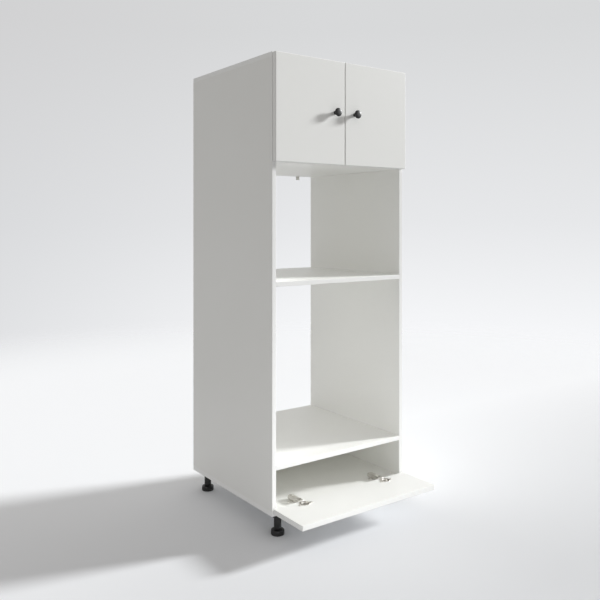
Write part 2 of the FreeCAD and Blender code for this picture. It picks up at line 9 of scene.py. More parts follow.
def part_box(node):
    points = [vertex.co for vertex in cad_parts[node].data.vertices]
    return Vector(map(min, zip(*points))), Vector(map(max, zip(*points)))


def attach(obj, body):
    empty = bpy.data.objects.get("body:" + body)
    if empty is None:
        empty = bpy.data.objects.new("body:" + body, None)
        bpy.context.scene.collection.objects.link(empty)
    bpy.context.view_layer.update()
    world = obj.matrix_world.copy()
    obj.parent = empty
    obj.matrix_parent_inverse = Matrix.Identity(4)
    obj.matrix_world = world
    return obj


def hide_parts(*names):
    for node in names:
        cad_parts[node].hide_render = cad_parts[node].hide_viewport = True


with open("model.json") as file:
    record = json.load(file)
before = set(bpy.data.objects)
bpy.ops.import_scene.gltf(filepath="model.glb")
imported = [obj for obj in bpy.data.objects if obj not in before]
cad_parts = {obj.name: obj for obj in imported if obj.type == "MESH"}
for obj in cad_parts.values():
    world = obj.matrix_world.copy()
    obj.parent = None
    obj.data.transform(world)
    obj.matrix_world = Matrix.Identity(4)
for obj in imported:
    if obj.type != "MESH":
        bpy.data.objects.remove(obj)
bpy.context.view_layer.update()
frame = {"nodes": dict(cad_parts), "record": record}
nodes = frame["nodes"]
print("stage: frame loaded,", len(nodes), "nodes")

# places that the rest of the script measures from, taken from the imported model
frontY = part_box("oven_shelf")[0][1]  # front edges of the boards
doorLow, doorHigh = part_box("left_door")


def linear(hexColour):
    # sRGB hex to linear RGBA
    parts = [int(hexColour[i:i + 2], 16) / 255 for i in (1, 3, 5)]
    return [c / 12.92 if c <= 0.04045 else ((c + 0.055) / 1.055) ** 2.4 for c in parts] + [1.0]


def node(tree, kind, settings=None, links=None):
    # adds one node; settings go to its properties or sockets, links name the socket each output feeds
    made = tree.nodes.new(kind)
    for key, value in (settings or {}).items():
        if isinstance(key, int):
            made.inputs[key].default_value = value
        elif hasattr(made, key):
            setattr(made, key, value)
        else:
            made.inputs[key].default_value = value
    for socket, source in (links or {}).items():
        tree.links.new(source, made.inputs[socket])
    return made


def startMaterial(name):
    # an empty material, its tree, and the place on the piece that every pattern reads
    material = bpy.data.materials.new(name)
    material.use_nodes = True
    material.node_tree.nodes.clear()
    tree = material.node_tree
    place = node(tree, "ShaderNodeTexCoord").outputs["Object"]
    return material, tree, place


def finishMaterial(tree, shader):
    node(tree, "ShaderNodeOutputMaterial", links={"Surface": shader.outputs[0]})


melamine = dict(name="melamineFacedParticleBoard", face="#F5F5F3", faceDeep="#F2F2EF", edgeBand="#F8F8F7",
                grainSize=0.0022, grainDepth=0.00003, cloudSize=0.35, roughness=0.40)


def melamineMaterial(look):
    # paper-faced board pressed against a fine pearl plate: an even satin white with a faint orange peel,
    # drawn at 2 mm so that it shows, and a slightly whiter plastic band glued round its edges
    material, tree, place = startMaterial(look["name"])
    clouds = node(tree, "ShaderNodeTexNoise", {"Scale": 1 / look["cloudSize"], "Detail": 2.0}, {"Vector": place})
    face = node(tree, "ShaderNodeMix", {"data_type": "RGBA", 6: linear(look["face"]),
                                        7: linear(look["faceDeep"])}, {"Factor": clouds.outputs["Fac"]})
    band = node(tree, "ShaderNodeAttribute", {"attribute_name": "band"})
    colour = node(tree, "ShaderNodeMix", {"data_type": "RGBA", 7: linear(look["edgeBand"])},
                  {"Factor": band.outputs["Fac"], 6: face.outputs[2]})
    peel = node(tree, "ShaderNodeTexNoise", {"Scale": 1 / look["grainSize"], "Detail": 3.0, "Roughness": 0.55},
                {"Vector": place})
    bump = node(tree, "ShaderNodeBump", {"Strength": 0.25, "Distance": look["grainDepth"]},
                {"Height": peel.outputs["Fac"]})
    rough = look["roughness"]
    gloss = node(tree, "ShaderNodeMapRange", {"To Min": rough - 0.04, "To Max": rough + 0.06},
                 {"Value": peel.outputs["Fac"]})
    shader = node(tree, "ShaderNodeBsdfPrincipled", {"IOR": 1.5, "Specular IOR Level": 0.35},
                  {"Base Color": colour.outputs[2], "Roughness": gloss.outputs[0], "Normal": bump.outputs[0]})
    finishMaterial(tree, shader)
    return material


foil = dict(name="foilWrappedFibreboard", face="#F4F4F2", faceDeep="#F1F1EF", grainSize=0.0016,
            grainDepth=0.00002, cloudSize=0.22, roughness=0.36)


def foilMaterial(look):
    # fibreboard front wrapped in matt white foil: smoother than the carcass, slightly wavy in the gloss
    material, tree, place = startMaterial(look["name"])
    clouds = node(tree, "ShaderNodeTexNoise", {"Scale": 1 / look["cloudSize"], "Detail": 2.0}, {"Vector": place})
    face = node(tree, "ShaderNodeMix", {"data_type": "RGBA", 6: linear(look["face"]),
                                        7: linear(look["faceDeep"])}, {"Factor": clouds.outputs["Fac"]})
    peel = node(tree, "ShaderNodeTexNoise", {"Scale": 1 / look["grainSize"], "Detail": 2.0}, {"Vector": place})
    bump = node(tree, "ShaderNodeBump", {"Strength": 0.2, "Distance": look["grainDepth"]},
                {"Height": peel.outputs["Fac"]})
    rough = look["roughness"]
    gloss = node(tree, "ShaderNodeMapRange", {"To Min": rough - 0.03, "To Max": rough + 0.05},
                 {"Value": clouds.outputs["Fac"]})
    shader = node(tree, "ShaderNodeBsdfPrincipled", {"IOR": 1.5, "Specular IOR Level": 0.4},
                  {"Base Color": face.outputs[2], "Roughness": gloss.outputs[0], "Normal": bump.outputs[0]})
    finishMaterial(tree, shader)
    return material


nickel = dict(name="nickelPlatedSteel", bright="#F0EEEA", dull="#DEDBD6", roughness=0.42, cloudSize=0.006,
              drawSize=0.0008)


def nickelMaterial(look):
    # cold-pressed sheet plated with nickel: a slightly warm bright metal with faint drawing marks
    material, tree, place = startMaterial(look["name"])
    clouds = node(tree, "ShaderNodeTexNoise", {"Scale": 1 / look["cloudSize"], "Detail": 3.0}, {"Vector": place})
    colour = node(tree, "ShaderNodeMix", {"data_type": "RGBA", 6: linear(look["dull"]),
                                          7: linear(look["bright"])}, {"Factor": clouds.outputs["Fac"]})
    marks = node(tree, "ShaderNodeTexNoise", {"Scale": 1 / look["drawSize"], "Detail": 2.0}, {"Vector": place})
    bump = node(tree, "ShaderNodeBump", {"Strength": 0.15, "Distance": 0.00005}, {"Height": marks.outputs["Fac"]})
    rough = look["roughness"]
    gloss = node(tree, "ShaderNodeMapRange", {"To Min": rough - 0.06, "To Max": rough + 0.1},
                 {"Value": clouds.outputs["Fac"]})
    shader = node(tree, "ShaderNodeBsdfPrincipled", {"Metallic": 1.0},
                  {"Base Color": colour.outputs[2], "Roughness": gloss.outputs[0], "Normal": bump.outputs[0]})
    finishMaterial(tree, shader)
    return material


plasticClouds = 60.0  # patches of about 17 mm
plastics = {
    "black_plastic": dict(name="blackPolypropylene", colour="#161616", worn="#242424", roughness=0.48,
                          grainSize=0.0012, grainDepth=0.00006),
    "clip_plastic": dict(name="milkyNylon", colour="#F2F2EE", worn="#E9E9E4", roughness=0.38,
                         grainSize=0.0020, grainDepth=0.00002),
    "knob_black": dict(name="blackPowderCoat", colour="#131313", worn="#1F1F1E", roughness=0.42,
                       grainSize=0.0007, grainDepth=0.00003),
}


def mouldedMaterial(look):
    # moulded or coated in one colour: fine spark-eroded grain that breaks the highlight
    material, tree, place = startMaterial(look["name"])
    grain = node(tree, "ShaderNodeTexNoise", {"Scale": 1 / look["grainSize"], "Detail": 2.0}, {"Vector": place})
    clouds = node(tree, "ShaderNodeTexNoise", {"Scale": plasticClouds, "Detail": 2.0}, {"Vector": place})
    colour = node(tree, "ShaderNodeMix", {"data_type": "RGBA", 6: linear(look["colour"]),
                                          7: linear(look["worn"])}, {"Factor": clouds.outputs["Fac"]})
    bump = node(tree, "ShaderNodeBump", {"Strength": 0.4, "Distance": look["grainDepth"]},
                {"Height": grain.outputs["Fac"]})
    rough = look["roughness"]
    gloss = node(tree, "ShaderNodeMapRange", {"To Min": rough - 0.06, "To Max": rough + 0.08},
                 {"Value": clouds.outputs["Fac"]})
    shader = node(tree, "ShaderNodeBsdfPrincipled", {"IOR": 1.49, "Specular IOR Level": 0.5},
                  {"Base Color": colour.outputs[2], "Roughness": gloss.outputs[0], "Normal": bump.outputs[0]})
    finishMaterial(tree, shader)
    return material


woods = {
    "beech": dict(name="plainBeech", pale="#C9A27A", dark="#B0855C", ringSize=0.004, roughness=0.6),
    "hardboard": dict(name="lacqueredHardboard", pale="#D9D8D3", dark="#CFCDC6", ringSize=0.02, roughness=0.55),
}


def woodMaterial(look):
    # fine streaks across the piece: beech rays on the dowels, roller marks on the lacquered hardboard
    material, tree, place = startMaterial(look["name"])
    streaks = node(tree, "ShaderNodeTexNoise", {"Scale": 1 / look["ringSize"], "Detail": 4.0, "Distortion": 0.4},
                   {"Vector": place})
    colour = node(tree, "ShaderNodeMix", {"data_type": "RGBA", 6: linear(look["pale"]),
                                          7: linear(look["dark"])}, {"Factor": streaks.outputs["Fac"]})
    bump = node(tree, "ShaderNodeBump", {"Strength": 0.2, "Distance": 0.0001}, {"Height": streaks.outputs["Fac"]})
    shader = node(tree, "ShaderNodeBsdfPrincipled", {"Roughness": look["roughness"]},
                  {"Base Color": colour.outputs[2], "Normal": bump.outputs[0]})
    finishMaterial(tree, shader)
    return material


zinc = dict(name="zincPlatedSteel", bright="#D6D9DB", dull="#B4B9BD", roughness=0.32, cloudSize=0.004,
            drawSize=0.001)
zincCast = dict(name="dieCastZinc", bright="#A9A9A9", dull="#858585", roughness=0.45, cloudSize=0.003,
                drawSize=0.0006)

finishes = {"white_board": melamineMaterial(melamine), "front_foil": foilMaterial(foil),
            "nickel_steel": nickelMaterial(nickel), "zinc_steel": nickelMaterial(zinc),
            "zinc_cast": nickelMaterial(zincCast)}
finishes.update({slotName: mouldedMaterial(look) for slotName, look in plastics.items()})
finishes.update({slotName: woodMaterial(look) for slotName, look in woods.items()})

for part in frame["record"]["subparts"]:
    shown = nodes[part["node"]]
    shown.data.materials.clear()
    shown.data.materials.append(finishes[part["material_slot"]])

# shapes worked out with numpy, in metres unless a note says mm
mm = 0.001
across, back, up = np.eye(3)


def directions(points, axis, closed):
    # the way a grid runs at each of its points: from the point before to the point after, and at a
    # free end one and a half times the last step less half of the step before it
    lines = np.moveaxis(points, axis, 0)
    if closed:
        return np.moveaxis(np.roll(lines, -1, axis=0) - np.roll(lines, 1, axis=0), 0, axis)
    steps = np.diff(lines, axis=0)
    steps = steps / np.maximum(np.linalg.norm(steps, axis=-1, keepdims=True), 1e-15)
    beside = min(1, len(steps) - 1)
    first = 1.5 * steps[0] - 0.5 * steps[beside]
    last = 1.5 * steps[-1] - 0.5 * steps[-1 - beside]
    return np.moveaxis(np.concatenate([first[None], lines[2:] - lines[:-2], last[None]]), 0, axis)


def gridPatch(points):
    # rows x columns of points, closed round the columns; the normal is the cross product of the grid's
    # two directions, and a row shrunk to a pole takes the mean normal of the row beside it
    rows, columns = points.shape[:2]
    index = np.arange(rows * columns).reshape(rows, columns)
    beside = np.roll(index, -1, axis=1)
    quads = np.stack([index[:-1], beside[:-1], beside[1:], index[1:]], axis=-1)
    normals = np.cross(directions(points, 1, True), directions(points, 0, False))
    length = np.linalg.norm(normals, axis=-1)
    for row, neighbour in ((0, 1), (rows - 1, rows - 2)):
        if length[row].max() < 1e-12:
            normals[row] = normals[neighbour].mean(axis=0)
    normals = normals / np.maximum(np.linalg.norm(normals, axis=-1, keepdims=True), 1e-15)
    return points.reshape(-1, 3), quads.reshape(-1, 4), normals.reshape(-1, 3)


def flatPatch(loops, normal):
    # flat face between an outline and the outlines of its holes, cut into triangles that face the normal
    points = np.concatenate(loops)
    triangles = np.array(tessellate_polygon([loop.tolist() for loop in loops]))
    a, b, c = (points[triangles[:, k]] for k in range(3))
    wrong = np.cross(b - a, c - a) @ np.asarray(normal, float) < 0
    triangles[wrong] = triangles[wrong][:, ::-1]
    quads = np.column_stack([triangles, triangles[:, 2]])
    return points, quads, np.tile(np.asarray(normal, float), (len(points), 1))


def makePiece(name, patches, finish, body, slotName, *replaced, banded=False):
    # joins patches into closed meshes: equal points become one, a quad with a doubled corner becomes a
    # triangle, and every corner keeps the normal that its own patch worked out. The attribute "band" is 1 on
    # the first patch of a banded piece, which is its rim.
    starts = np.cumsum([0] + [len(patch[0]) for patch in patches])
    points = np.concatenate([patch[0] for patch in patches])
    quads = np.concatenate([patch[1] + start for patch, start in zip(patches, starts)])
    normals = np.concatenate([patch[2] for patch in patches])
    first, same = np.unique(np.round(points * 1e7).astype(np.int64), axis=0, return_index=True,
                            return_inverse=True)[1:]
    corners = same.ravel()[quads]
    kept = corners != np.roll(corners, 1, axis=1)
    four, three = kept.sum(axis=1) == 4, kept.sum(axis=1) == 3
    triangles = corners[three][kept[three]].reshape(-1, 3)
    mesh = bpy.data.meshes.new(name)
    mesh.from_pydata(points[first].tolist(), [], corners[four].tolist() + triangles.tolist())
    mesh.shade_smooth()
    cornerNormals = np.concatenate([normals[quads[four]].reshape(-1, 3), normals[quads[three]][kept[three]]])
    mesh.normals_split_custom_set(cornerNormals.tolist())
    if banded:
        onRim = np.arange(len(mesh.polygons)) < len(patches[0][1])
        mesh.attributes.new("band", "FLOAT", "FACE").data.foreach_set("value", onRim.astype(np.float32))
    mesh.materials.append(finish)
    piece = bpy.data.objects.new(name, mesh)
    bpy.context.scene.collection.objects.link(piece)
    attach(piece, body)
    if replaced:
        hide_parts(*replaced)


def moved(patches, origin, axes):
    # local (a, b, c) become origin + a * first axis + b * second axis + c * third axis; normals turn too
    turn = np.asarray(axes, float)
    return [(np.asarray(origin, float) + points @ turn, quads, normals @ turn)
            for points, quads, normals in patches]


def smoothCurve(points, steps=6):
    # Catmull-Rom curve: on each span a cubic of the span's own parameter, all spans at once
    p = np.array(points, float)
    a, b, c, d = (v[:, None, :] for v in (np.vstack([2 * p[0] - p[1], p[:-2]]), p[:-1], p[1:],
                                          np.vstack([p[2:], 2 * p[-1] - p[-2]])))
    t = np.linspace(0, 1, steps, endpoint=False)[None, :, None]
    curve = 0.5 * (2 * b + (c - a) * t + (2 * a - 5 * b + 4 * c - d) * t ** 2 + (3 * b - a - 3 * c + d) * t ** 3)
    return np.vstack([curve.reshape(-1, p.shape[1]), p[-1:]])


def fullTurn(columns):
    # evenly spaced angles once round, the last one short of the first
    return np.linspace(0, 2 * np.pi, columns, endpoint=False)


def turned(runs, columns=64):
    # (radius cos t, radius sin t, height) in mm, listed from the low pole out, up and in to the high pole;
    # a radius may change with t, and runs meet in sharp edges
    t = fullTurn(columns)
    patches = []
    for run in runs:
        radius = np.array([np.broadcast_to(r, columns) for r, h in run], float)
        height = np.array([np.broadcast_to(h, columns) for r, h in run], float)
        patches.append(gridPatch(np.stack([radius * np.cos(t), radius * np.sin(t), height], axis=-1) * mm))
    return patches


def edges(*points):
    # one run from each point of a profile to the next, with a sharp edge at every point between
    return [[a, b] for a, b in zip(points, points[1:])]


def pin(radius, start, end, columns=32, chamfer=0.3):
    # plain round pin with a chamfer at both ends, mm
    low, high = start + chamfer, end - chamfer
    return turned(edges((0, start), (radius - chamfer, start), (radius, low), (radius, high),
                        (radius - chamfer, end), (0, end)), columns)


def crossRadius(reach, halfWidth, columns):
    # how far two crossed bars reach at each angle
    c, s = np.abs(np.cos(fullTurn(columns))) + 1e-9, np.abs(np.sin(fullTurn(columns))) + 1e-9
    return np.maximum(np.minimum(reach / c, halfWidth / s), np.minimum(halfWidth / c, reach / s))


def hexRadius(flat, columns):
    # how far a hexagon reaches at each angle: half its width across flats over the cosine to the nearest flat
    t = fullTurn(columns)
    return flat / np.cos(np.mod(t, np.pi / 3) - np.pi / 6)


def screw(shank, tip, head, seat, top, recess, depth, columns=24):
    # turned from the tip: shank, underside of the head, rim, low crown, and a recess whose edge is a
    # radius that changes with the angle, mm
    edge, crown = 0.25 * (top - seat), 0.74 * head
    runs = [[(0, tip), (0.5 * shank, tip + 0.3 * shank), (shank, tip + 1.8 * shank), (shank, seat)],
            *edges((shank, seat), (head, seat), (head, top - 2 * edge)),
            [(head, top - 2 * edge), (0.97 * head, top - edge), (0.86 * head, top - 0.3 * edge), (crown, top)],
            *edges((crown, top), (recess, top), (0.85 * recess, top - depth), (0, top - depth))]
    return turned(runs, columns)


def rounded(corners, radius, steps=6):
    # each corner of a closed outline becomes an arc that touches both of its edges: the arc's two ends seen
    # from its centre are mixed by sin((1 - s) w) / sin w and sin(s w) / sin w, where w is the arc's angle
    p = np.array(corners, float)
    before, after = np.roll(p, 1, axis=0) - p, np.roll(p, -1, axis=0) - p
    lengths = [np.linalg.norm(side, axis=1, keepdims=True) for side in (before, after)]
    before, after = before / lengths[0], after / lengths[1]
    half = np.arccos(np.clip((before * after).sum(axis=1), -1, 1))[:, None] / 2
    reach = np.minimum(radius / np.tan(half), 0.499 * np.minimum(*lengths))
    middle = before + after
    centre = p + middle / np.linalg.norm(middle, axis=1, keepdims=True) * reach / np.cos(half)
    start, end = (p + before * reach - centre)[:, None, :], (p + after * reach - centre)[:, None, :]
    w = (np.pi - 2 * half)[:, :, None]
    s = np.linspace(0, 1, steps)[None, :, None]
    arcs = centre[:, None, :] + (np.sin((1 - s) * w) * start + np.sin(s * w) * end) / np.sin(w)
    return arcs.reshape(-1, 2)


def oblong(halfA, halfB, radius, middle=(0.0, 0.0), steps=6):
    # rectangle of two half sizes round a middle, anticlockwise, with rounded corners
    signs = np.array([(-1, -1), (1, -1), (1, 1), (-1, 1)])
    return rounded(np.array(middle) + signs * (halfA, halfB), radius, steps)


def plate(outline, low, high, roundLow, roundHigh, pockets=(), share=None, steps=4):
    # flat piece between two levels: near a face the outline moves in along its own normals by
    # r (1 - cos t) while the level moves by r (1 - sin t), t over a quarter turn; then the faces are
    # filled. A pocket is (a, b, radius, depth, whether it opens in the high face): a circle carried down.
    # share gives the part of the rounding that each outward normal keeps.
    way = np.roll(outline, -1, axis=0) - np.roll(outline, 1, axis=0)
    outward = np.stack([way[:, 1], -way[:, 0]], axis=1)
    outward = outward / np.linalg.norm(outward, axis=1, keepdims=True)
    kept = np.ones(len(outline)) if share is None else share(outward)
    t = np.linspace(0, np.pi / 2, steps)
    inset = np.concatenate([roundLow * (1 - np.sin(t)), roundHigh * (1 - np.cos(t))])[:, None] * kept
    level = np.concatenate([low + roundLow * (1 - np.cos(t))[:, None] * kept,
                            high - roundHigh * (1 - np.sin(t))[:, None] * kept])
    rim = np.concatenate([outline - outward * inset[:, :, None], level[:, :, None]], axis=2)
    patches = [gridPatch(rim)]
    faces = {False: [rim[0]], True: [rim[-1]]}
    for a, b, radius, depth, fromHigh in pockets:
        circle = np.stack([a + radius * np.cos(fullTurn(48)), b + radius * np.sin(fullTurn(48))], axis=1)
        mouth = np.column_stack([circle, np.full(48, high if fromHigh else low)])
        bottom = np.column_stack([circle, np.full(48, high - depth if fromHigh else low + depth)])
        patches.append(gridPatch(np.stack([mouth, bottom] if fromHigh else [bottom, mouth])))
        patches.append(flatPatch([bottom], up if fromHigh else -up))
        faces[fromHigh].append(mouth)
    return patches + [flatPatch(faces[False], -up), flatPatch(faces[True], up)]


def carried(section, path, sideways):
    # a closed section of (side, rise), anticlockwise, carried along a path: each of its points is
    # path + side * sideways + rise * (way x sideways)
    way = directions(path, 0, False)
    way = way / np.linalg.norm(way, axis=1, keepdims=True)
    rise = np.cross(way, sideways)
    grid = (path[:, None, :] + section[None, :, :1] * np.asarray(sideways, float)
            + section[None, :, 1:] * rise[:, None, :])
    return [gridPatch(grid), flatPatch([grid[0]], -way[0]), flatPatch([grid[-1]], way[-1])]


slotOf = {part["node"]: part["material_slot"] for part in frame["record"]["subparts"]}


def standFor(name, patches, body, ending="", finish=None, banded=False):
    # a piece stands for one CAD node: it has that node's name in camelCase and the finish of the node's slot unless
    # another is named
    words = name.split("_")
    newName = words[0] + "".join(word.capitalize() for word in words[1:]) + ending
    makePiece(newName, patches, finishes[finish or slotOf[name]], body, slotOf[name], name, banded=banded)


def boardPatches(name, look, pockets=()):
    # a board fills the box of its CAD node; its own frame is turned so that its last axis is the thickness
    low, high = (np.array(corner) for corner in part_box(name))
    thin = int(np.argmin(high - low))
    order = [(thin + 1) % 3, (thin + 2) % 3, thin]
    centre, half = (low + high) / 2, ((high - low) / 2)[order]
    local = [(*(np.array(place) - centre)[order[:2]], radius * mm, depth * mm, fromHigh)
             for place, radius, depth, fromHigh in pockets]
    outline = oblong(half[0], half[1], look["corner"] * mm)
    forward = -np.eye(3)[order][:2, 1]
    patches = plate(outline, -half[2], half[2], look["roundLow"] * mm, look["roundHigh"] * mm, local,
                    lambda normals: np.clip(normals @ forward, look["otherEdges"], 1.0))
    return moved(patches, centre, np.eye(3)[order])


# carcass boards: melamine-faced, their edges eased by the banding machine, with pockets for the fittings
boards = dict(corner=1.2, roundLow=1.1, roundHigh=1.1, otherEdges=0.35,
              names=("bottom_panel", "top_panel", "oven_shelf", "microwave_shelf", "cupboard_floor",
                     "left_side_lower", "right_side_lower", "left_side_upper", "right_side_upper"))
# fittings: the boards they sit in, whether in the upper face, and the pocket's place and size in mm
cams = dict(faces={"oven_shelf": False, "microwave_shelf": False, "cupboard_floor": True}, fromEnd=34.0,
            fromEdge=50.0, radius=7.4, pocket=7.6, depth=12.3)
joiners = dict(faces={"bottom_panel": False, "top_panel": True}, fromEnd=8.0, fromEdge=60.0, radius=4.85,
               pocket=5.1, depth=4.0)
facing = {True: (across, back, up), False: (across, -back, -up)}


def fittingPlaces(name, look):
    # four places on the board's face, one near each corner
    low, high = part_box(name)
    level = high[2] if look["faces"][name] else low[2]
    return [np.array([x, y, level]) for x in (low[0] + look["fromEnd"] * mm, high[0] - look["fromEnd"] * mm)
            for y in (low[1] + look["fromEdge"] * mm, high[1] - look["fromEdge"] * mm)]


def fitted(shape, look):
    # a copy of the shape at each place, turned over where it sits in a lower face
    return [patch for name, upward in look["faces"].items() for place in fittingPlaces(name, look)
            for patch in moved(shape, place, facing[upward])]


pocketsOf = {name: [(place, look["pocket"], look["depth"], upward) for place in fittingPlaces(name, look)]
             for look in (cams, joiners) for name, upward in look["faces"].items()}
for name in boards["names"]:
    standFor(name, boardPatches(name, boards, pocketsOf.get(name, ())), "carcass", banded=True)

hardboards = dict(corner=0.5, roundLow=0.2, roundHigh=0.2, otherEdges=1.0)
backPanels = ("upper_back_panel", "lower_back_panel")
for name in backPanels:
    standFor(name, boardPatches(name, hardboards), "carcass")
print("stage: carcass boards and backs")

# nails of the backs: small domed heads in rows along the edges of both hardboards
nails = dict(head=1.9, rise=0.55, fromEdge=6.5, spacing=95.0)


def nailPlaces(name):
    # evenly spaced round the outline: both long rows, then both short rows without their corners
    low, high = (np.array(corner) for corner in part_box(name))
    inset = nails["fromEdge"] * mm
    x = np.linspace(low[0] + inset, high[0] - inset, int((high[0] - low[0]) / (nails["spacing"] * mm)) + 1)
    z = np.linspace(low[2] + inset, high[2] - inset, int((high[2] - low[2]) / (nails["spacing"] * mm)) + 2)[1:-1]
    rows = [(a, b) for b in (low[2] + inset, high[2] - inset) for a in x]
    rows += [(a, b) for a in (low[0] + inset, high[0] - inset) for b in z]
    return [(a, high[1], b) for a, b in rows]


head, rise = nails["head"], nails["rise"]
nailHead = turned([*edges((0, -1.0), (head, -1.0), (head, 0.35 * rise)),
                   [(head, 0.35 * rise), (0.8 * head, 0.8 * rise), (0.45 * head, rise), (0, rise)]], 12)
backward = (across, -up, back)
makePiece("backPanelNails", [patch for name in backPanels for place in nailPlaces(name)
                             for patch in moved(nailHead, place, backward)],
          finishes["zinc_steel"], "carcass", "zinc_steel")

# fittings of the boards: cams with a cross recess, and joining screws with a hexagon socket
r = cams["radius"]
camFace = turned(edges((0, -12.0), (r, -12.0), (r, -0.5), (r - 0.5, -0.1), (r - 1.2, -0.1), (r - 1.4, -0.5),
                       (crossRadius(3.6, 1.0, 48), -0.5), (crossRadius(2.6, 0.7, 48), -3.2), (0, -3.2)), 48)
joiningScrew = screw(3.4, -45.0, joiners["radius"], -3.8, -0.1, hexRadius(2.0, 48), 2.6, 48)
standFor("shelf_cams", fitted(camFace, cams), "carcass")
standFor("joining_screws", fitted(joiningScrew, joiners), "carcass")
print("stage: nails, cams and joining screws")

# concealed hinges, mm in their own frame: x along the pins, y into the cabinet, z away from the panel
hinge = dict(armPin=(4.0, 29.0), cupPin=(-4.7, 12.0), swing=50.0, cupCentre=24.0, innerFace=-1.2,
             fromDoorEnd=80.0, flapX=185.0, boreRadius=17.55, boreDepth=11.7)
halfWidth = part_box("top_panel")[1][0]
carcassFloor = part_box("bottom_panel")[0][2]
doorLevels = (doorLow[2] + hinge["fromDoorEnd"] * mm, doorHigh[2] - hinge["fromDoorEnd"] * mm)
doorMiddle = (doorLow[2] + doorHigh[2]) / 2
flapPlaces = (-hinge["flapX"] * mm, hinge["flapX"] * mm)


def swung(y, z, degrees):
    # a place turned about the arm pin, which is what the link does as the front opens
    angle = math.radians(degrees)
    y0, z0 = hinge["armPin"]
    return (y0 + (y - y0) * math.cos(angle) - (z - z0) * math.sin(angle),
            z0 + (y - y0) * math.sin(angle) + (z - z0) * math.cos(angle))


openPin = swung(*hinge["cupPin"], -hinge["swing"])
hingeFrames = {
    "left_door": [((-halfWidth, frontY, level), (-up, back, across)) for level in doorLevels],
    "right_door": [((halfWidth, frontY, level), (up, back, -across)) for level in doorLevels],
    "flap": [((x, frontY, carcassFloor), (across, back, up)) for x in flapPlaces]}
flapOffset = ((openPin[0] + hinge["cupPin"][1]) * mm, (openPin[1] - hinge["cupPin"][0]) * mm)
cupFrames = dict(hingeFrames)
cupFrames["flap"] = [((x, frontY + flapOffset[0], carcassFloor + flapOffset[1]), (across, up, -back))
                     for x in flapPlaces]


def onEach(frames, patches):
    # the same patches carried into each of the frames
    return [patch for origin, axes in frames for patch in moved(patches, origin, axes)]


allHinges = [place for frames in hingeFrames.values() for place in frames]

# fronts: foil over a milled radius on the outer face, with the bores of the cups in the inner face
fronts = dict(corner=2.6, roundLow=2.4, roundHigh=0.7, otherEdges=1.0)
for front in hingeFrames:
    bores = [(np.array(origin) + np.array([0, hinge["innerFace"], hinge["cupCentre"]]) * mm @ np.array(axes),
              hinge["boreRadius"], hinge["boreDepth"], True) for origin, axes in cupFrames[front]]
    standFor(front, boardPatches(front, fronts, bores), front, ending="Front", finish="front_foil")
print("stage: doors and flap")

# knobs: a mushroom on a short neck, with a soft crown, black coated
knobs = dict(fromCentre=45.0, columns=96,
             profile=[(6.8, 0.0), (6.4, 2.6), (6.2, 5.6), (6.8, 8.6), (9.0, 11.6), (12.2, 13.9), (14.3, 15.8),
                      (15.0, 17.8), (14.5, 19.8), (12.4, 21.6), (8.6, 22.9), (4.2, 23.4), (0.0, 23.5)])
knobShape = turned([[(0, 0), (6.8, 0)], smoothCurve(knobs["profile"], 5)], knobs["columns"])
outward = (across, up, -back)
knobScrew = screw(1.95, -28.5, 3.95, 0.05, 2.0, crossRadius(2.6, 0.7, 32), 1.3, 32)
for name, side in (("left", -1), ("right", 1)):
    x = side * knobs["fromCentre"] * mm
    standFor(name + "_knob", moved(knobShape, (x, doorLow[1], doorMiddle), outward), name + "_door")
    standFor(name + "_knob_screw", moved(knobScrew, (x, doorHigh[1], doorMiddle), backward), name + "_door")
print("stage: knobs")

# hinge cup: one closed surface in rings round the middle of the cup; the flange's edge is a radius that
# changes with the angle, the larger of a disc and of the bar between the two screw wings
cup = dict(radius=17.5, depth=11.5, wall=1.0, flange=0.8, flangeRadius=19.5, wingSpan=24.0, wingRadius=6.5,
           wingOffset=6.0, cheek=(6.0, 7.6), columns=128)


